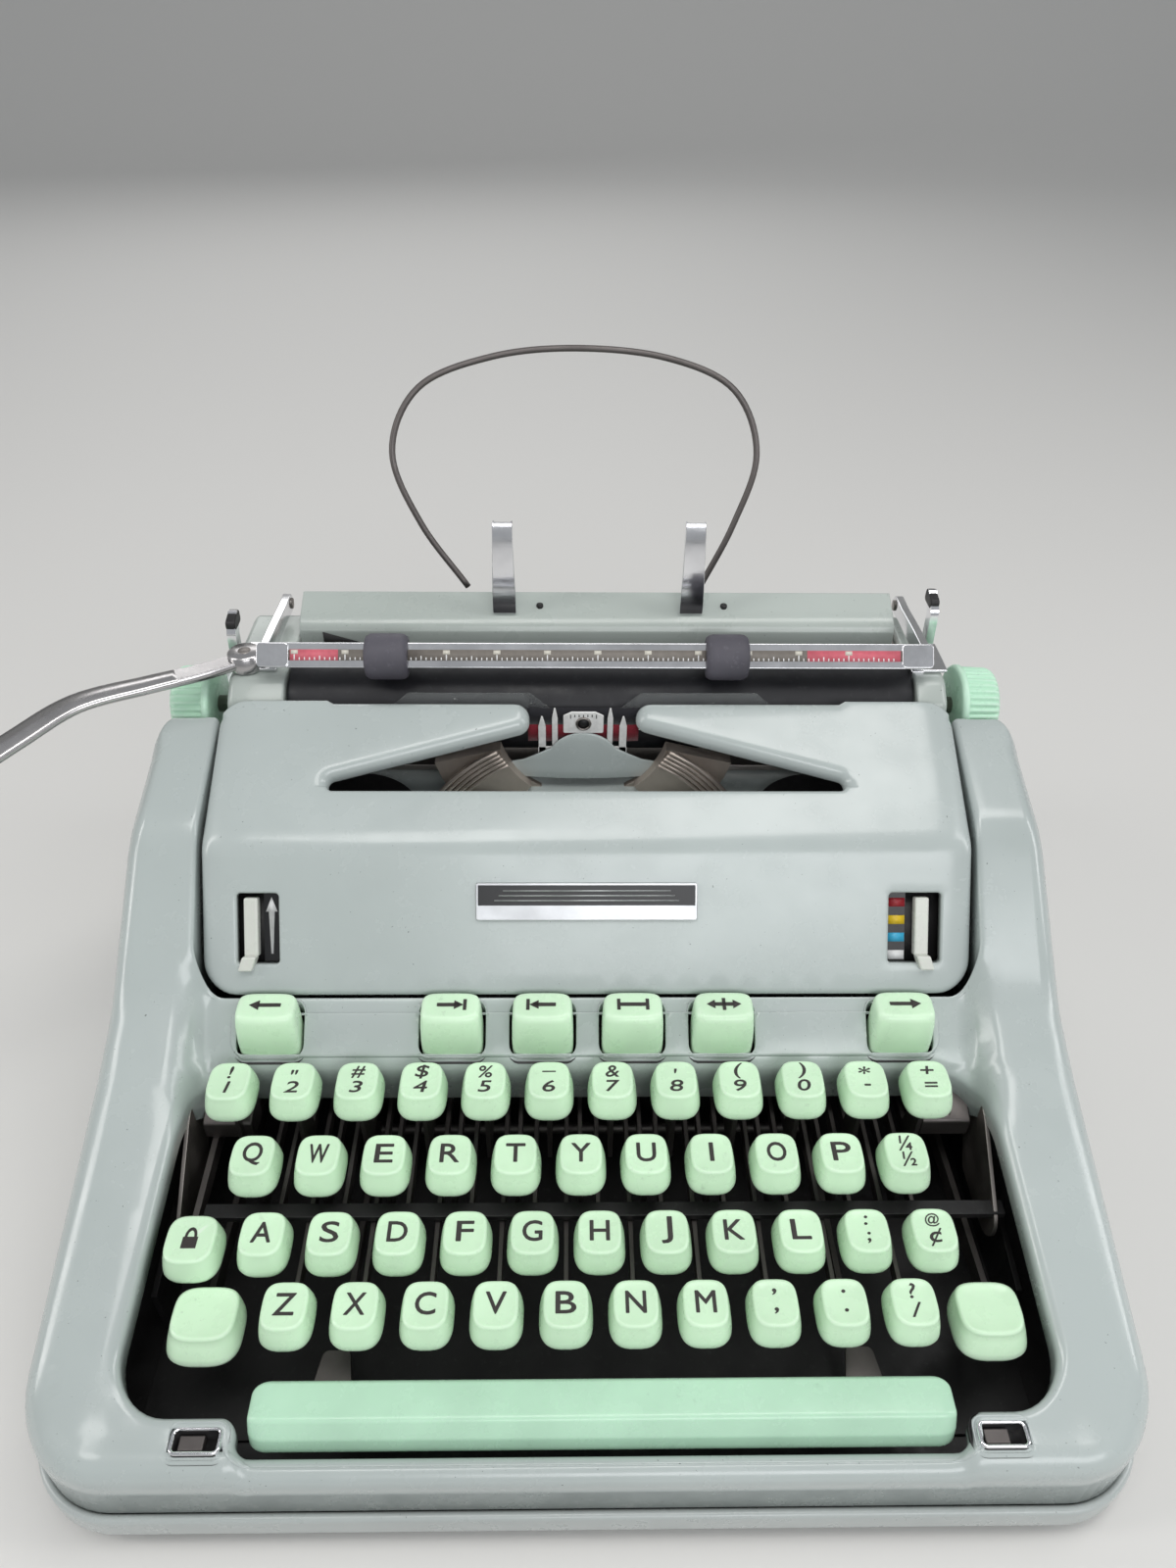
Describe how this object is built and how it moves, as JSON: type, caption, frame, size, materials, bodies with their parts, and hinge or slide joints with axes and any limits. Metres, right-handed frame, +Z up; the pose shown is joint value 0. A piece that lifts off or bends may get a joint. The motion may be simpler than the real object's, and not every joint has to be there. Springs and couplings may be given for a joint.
{
  "type": "manual typewriter",
  "caption": "Portable manual typewriter with moving carriage, sprung keys, shifting type basket, lifting ribbon cover, paper bail, return lever and folding paper support.",
  "frame": {"origin": "middle of the base tray's underside; the rubber feet reach 4 mm below it", "axes": "+X to the typist's right along the platen, +Y away from the typist, +Z up"},
  "size_m": [0.3817, 0.3, 0.2447],
  "materials": {
    "enamel": "semi-gloss pale grey-green enamel",
    "key_plastic": "semi-gloss mint plastic",
    "black_metal": "satin black",
    "steel": "dull nickel",
    "chrome": "polished",
    "platen_rubber": "matt hard rubber",
    "roller_rubber": "matt",
    "clear": "clear plastic",
    "ribbon_cloth": "inked cotton tape",
    "plate": "satin with a dark field"
  },
  "bodies": {
    "frame": {"base_tray": "enamel", "rubber_foot_front_left": "platen_rubber", "rubber_foot_front_right": "platen_rubber", "rubber_foot_back_left": "platen_rubber", "rubber_foot_back_right": "platen_rubber", "main_housing": "enamel", "lid_latch_left": "chrome", "lid_latch_right": "chrome", "chassis": "black_metal", "key_pivot_rod": "steel", "keyboard_crossbar": "steel", "carriage_rail": "steel", "type_shield": "enamel", "type_guide": "chrome", "card_holder_left": "clear", "card_holder_right": "clear"},
    "cover": {"ribbon_cover": "enamel", "name_plate": "plate"},
    "touch_lever": {"touch_lever": "enamel"},
    "colour_lever": {"ribbon_colour_lever": "enamel"},
    "spool_left": {"ribbon_spool_left": "black_metal"},
    "spool_right": {"ribbon_spool_right": "black_metal"},
    "vibrator": {"ribbon_vibrator": "steel", "ribbon": "ribbon_cloth"},
    "type_basket": {"type_segment": "steel", "typebar_fan": "steel"},
    "typebar_h": {"typebar_h": "steel"},
    "row_bottom": {"key_row_bottom": "key_plastic"},
    "row_home": {"key_row_home": "key_plastic"},
    "row_upper": {"key_row_upper": "key_plastic"},
    "row_number": {"key_row_number": "key_plastic"},
    "key_h": {"key_h": "key_plastic"},
    "shift": {"shift_keys": "key_plastic"},
    "shift_lock": {"shift_lock_key": "key_plastic"},
    "space": {"space_bar": "key_plastic"},
    "carriage": {"carriage_frame": "black_metal", "carriage_end_left": "enamel", "carriage_end_right": "enamel", "paper_table": "enamel", "paper_finger_left": "chrome", "paper_finger_right": "chrome"},
    "platen": {"platen": "platen_rubber", "platen_knob_left": "key_plastic", "platen_knob_right": "key_plastic"},
    "bail": {"paper_bail": "chrome"},
    "bail_roller_left": {"bail_roller_left": "roller_rubber"},
    "bail_roller_right": {"bail_roller_right": "roller_rubber"},
    "paper_support": {"paper_support_wire": "steel"},
    "return_lever": {"carriage_return_lever": "chrome"},
    "carriage_release": {"carriage_release_lever": "chrome"},
    "paper_release": {"paper_release_lever": "chrome"},
    "margin_left": {"margin_stop_left": "chrome"},
    "margin_right": {"margin_stop_right": "chrome"},
    "mainspring": {"mainspring_drum": "steel"},
    "key_backspace": {"function_key_backspace": "key_plastic"},
    "key_tab_set": {"function_key_tab_set": "key_plastic"},
    "key_tab_clear": {"function_key_tab_clear": "key_plastic"},
    "key_clear_all": {"function_key_clear_all": "key_plastic"},
    "key_margin_release": {"function_key_margin_release": "key_plastic"},
    "key_tabulator": {"function_key_tabulator": "key_plastic"}
  },
  "joints": [
    {"name": "cover_lift", "type": "hinge", "parent": "frame", "child": "cover", "pos_m": [0, -0.0215, 0.083], "axis": [-1, 0, 0], "range_deg": [-35, 0]},
    {"name": "touch_control", "type": "slide", "parent": "frame", "child": "touch_lever", "axis": [0, 0.5692, 0.8222], "range_m": [0, 0.01]},
    {"name": "ribbon_colour_select", "type": "slide", "parent": "frame", "child": "colour_lever", "axis": [0, 0.5692, 0.8222], "range_m": [0, 0.01]},
    {"name": "spool_left_turn", "type": "hinge", "parent": "frame", "child": "spool_left", "pos_m": [-0.082, 0.03, 0.109], "axis": [0, 0, 1], "continuous": true},
    {"name": "spool_right_turn", "type": "hinge", "parent": "frame", "child": "spool_right", "pos_m": [0.082, 0.03, 0.109], "axis": [0, 0, 1], "continuous": true},
    {"name": "ribbon_lift", "type": "slide", "parent": "frame", "child": "vibrator", "axis": [0, 0, 1], "range_m": [0, 0.006]},
    {"name": "basket_shift", "type": "slide", "parent": "frame", "child": "type_basket", "axis": [0, 0, -1], "range_m": [0, 0.006]},
    {"name": "typebar_h_swing", "type": "hinge", "parent": "type_basket", "child": "typebar_h", "pos_m": [-0.0015, 0.0465, 0.093], "axis": [-1, 0, 0], "range_deg": [0, 88]},
    {"name": "row_bottom_press", "type": "hinge", "parent": "frame", "child": "row_bottom", "pos_m": [0, 0.046, 0.048], "axis": [1, 0, 0], "range_deg": [0, 4.5], "stiffness_Nm_per_rad": 2, "springref_deg": -11.46},
    {"name": "row_home_press", "type": "hinge", "parent": "frame", "child": "row_home", "pos_m": [0, 0.046, 0.048], "axis": [1, 0, 0], "range_deg": [0, 4.5], "stiffness_Nm_per_rad": 2, "springref_deg": -11.46},
    {"name": "row_upper_press", "type": "hinge", "parent": "frame", "child": "row_upper", "pos_m": [0, 0.046, 0.048], "axis": [1, 0, 0], "range_deg": [0, 4.5], "stiffness_Nm_per_rad": 2, "springref_deg": -11.46},
    {"name": "row_number_press", "type": "hinge", "parent": "frame", "child": "row_number", "pos_m": [0, 0.046, 0.048], "axis": [1, 0, 0], "range_deg": [0, 4.5], "stiffness_Nm_per_rad": 2, "springref_deg": -11.46},
    {"name": "key_h_press", "type": "hinge", "parent": "frame", "child": "key_h", "pos_m": [0.00275, 0.046, 0.048], "axis": [1, 0, 0], "range_deg": [0, 4.5], "stiffness_Nm_per_rad": 0.4, "springref_deg": -17.19},
    {"name": "shift_press", "type": "hinge", "parent": "frame", "child": "shift", "pos_m": [0, -0.004, 0.024], "axis": [1, 0, 0], "range_deg": [0, 4.5], "stiffness_Nm_per_rad": 2.5, "springref_deg": -14.32},
    {"name": "shift_lock_press", "type": "hinge", "parent": "frame", "child": "shift_lock", "pos_m": [-0.1219, -0.042, 0.044], "axis": [1, 0, 0], "range_deg": [0, 7], "stiffness_Nm_per_rad": 0.3, "springref_deg": -17.19},
    {"name": "space_press", "type": "hinge", "parent": "frame", "child": "space", "pos_m": [0, -0.025, 0.014], "axis": [1, 0, 0], "range_deg": [0, 4.5], "stiffness_Nm_per_rad": 1, "springref_deg": -17.19},
    {"name": "backspace_press", "type": "slide", "parent": "frame", "child": "key_backspace", "axis": [0, 0, -1], "range_m": [0, 0.005], "stiffness_N_per_m": 150, "springref_m": -0.006},
    {"name": "tab_set_press", "type": "slide", "parent": "frame", "child": "key_tab_set", "axis": [0, 0, -1], "range_m": [0, 0.005], "stiffness_N_per_m": 150, "springref_m": -0.006},
    {"name": "tab_clear_press", "type": "slide", "parent": "frame", "child": "key_tab_clear", "axis": [0, 0, -1], "range_m": [0, 0.005], "stiffness_N_per_m": 150, "springref_m": -0.006},
    {"name": "clear_all_press", "type": "slide", "parent": "frame", "child": "key_clear_all", "axis": [0, 0, -1], "range_m": [0, 0.005], "stiffness_N_per_m": 150, "springref_m": -0.006},
    {"name": "margin_release_press", "type": "slide", "parent": "frame", "child": "key_margin_release", "axis": [0, 0, -1], "range_m": [0, 0.005], "stiffness_N_per_m": 150, "springref_m": -0.006},
    {"name": "tabulator_press", "type": "slide", "parent": "frame", "child": "key_tabulator", "axis": [0, 0, -1], "range_m": [0, 0.005], "stiffness_N_per_m": 150, "springref_m": -0.006},
    {"name": "carriage_travel", "type": "slide", "parent": "frame", "child": "carriage", "axis": [1, 0, 0], "range_m": [-0.11, 0.11]},
    {"name": "platen_turn", "type": "hinge", "parent": "carriage", "child": "platen", "pos_m": [0, 0.0727, 0.1334], "axis": [1, 0, 0], "continuous": true},
    {"name": "bail_lift", "type": "hinge", "parent": "carriage", "child": "bail", "pos_m": [0, 0.106, 0.156], "axis": [-1, 0, 0], "range_deg": [0, 40]},
    {"name": "bail_roller_left_turn", "type": "hinge", "parent": "bail", "child": "bail_roller_left", "pos_m": [-0.0696, 0.0665, 0.1574], "axis": [1, 0, 0], "continuous": true},
    {"name": "bail_roller_right_turn", "type": "hinge", "parent": "bail", "child": "bail_roller_right", "pos_m": [0.0484, 0.0665, 0.1574], "axis": [1, 0, 0], "continuous": true},
    {"name": "paper_support_fold", "type": "hinge", "parent": "carriage", "child": "paper_support", "pos_m": [0, 0.112, 0.16], "axis": [-1, 0, 0], "range_deg": [0, 60]},
    {"name": "line_return", "type": "hinge", "parent": "carriage", "child": "return_lever", "pos_m": [-0.1205, 0.072, 0.153], "axis": [0, 0, 1], "range_deg": [0, 30], "stiffness_Nm_per_rad": 0.3, "springref_deg": -11.46},
    {"name": "carriage_release", "type": "hinge", "parent": "carriage", "child": "carriage_release", "pos_m": [-0.1288, 0.092, 0.136], "axis": [1, 0, 0], "range_deg": [0, 14], "stiffness_Nm_per_rad": 0.05, "springref_deg": -17.19},
    {"name": "paper_release", "type": "hinge", "parent": "carriage", "child": "paper_release", "pos_m": [0.1297, 0.098, 0.136], "axis": [1, 0, 0], "range_deg": [0, 14], "stiffness_Nm_per_rad": 0.05, "springref_deg": -17.19},
    {"name": "margin_left_set", "type": "slide", "parent": "carriage", "child": "margin_left", "axis": [1, 0, 0], "range_m": [-0.035, 0.06]},
    {"name": "margin_right_set", "type": "slide", "parent": "carriage", "child": "margin_right", "axis": [1, 0, 0], "range_m": [-0.06, 0.035]},
    {"name": "mainspring_turn", "type": "hinge", "parent": "frame", "child": "mainspring", "pos_m": [-0.085, 0.124, 0.072], "axis": [0, 1, 0], "range_deg": [-330, 330]}
  ],
  "couplings": [
    {"joint": "spool_right_turn", "follows": "spool_left_turn", "ratio": 1},
    {"joint": "typebar_h_swing", "follows": "key_h_press", "ratio": 19.546},
    {"joint": "ribbon_lift", "follows": "key_h_press", "m_per_rad": 0.07576},
    {"joint": "basket_shift", "follows": "shift_press", "m_per_rad": 0.07576},
    {"joint": "bail_roller_left_turn", "follows": "platen_turn", "ratio": -2},
    {"joint": "bail_roller_right_turn", "follows": "platen_turn", "ratio": -2},
    {"joint": "mainspring_turn", "follows": "carriage_travel", "rad_per_m": 50}
  ]
}
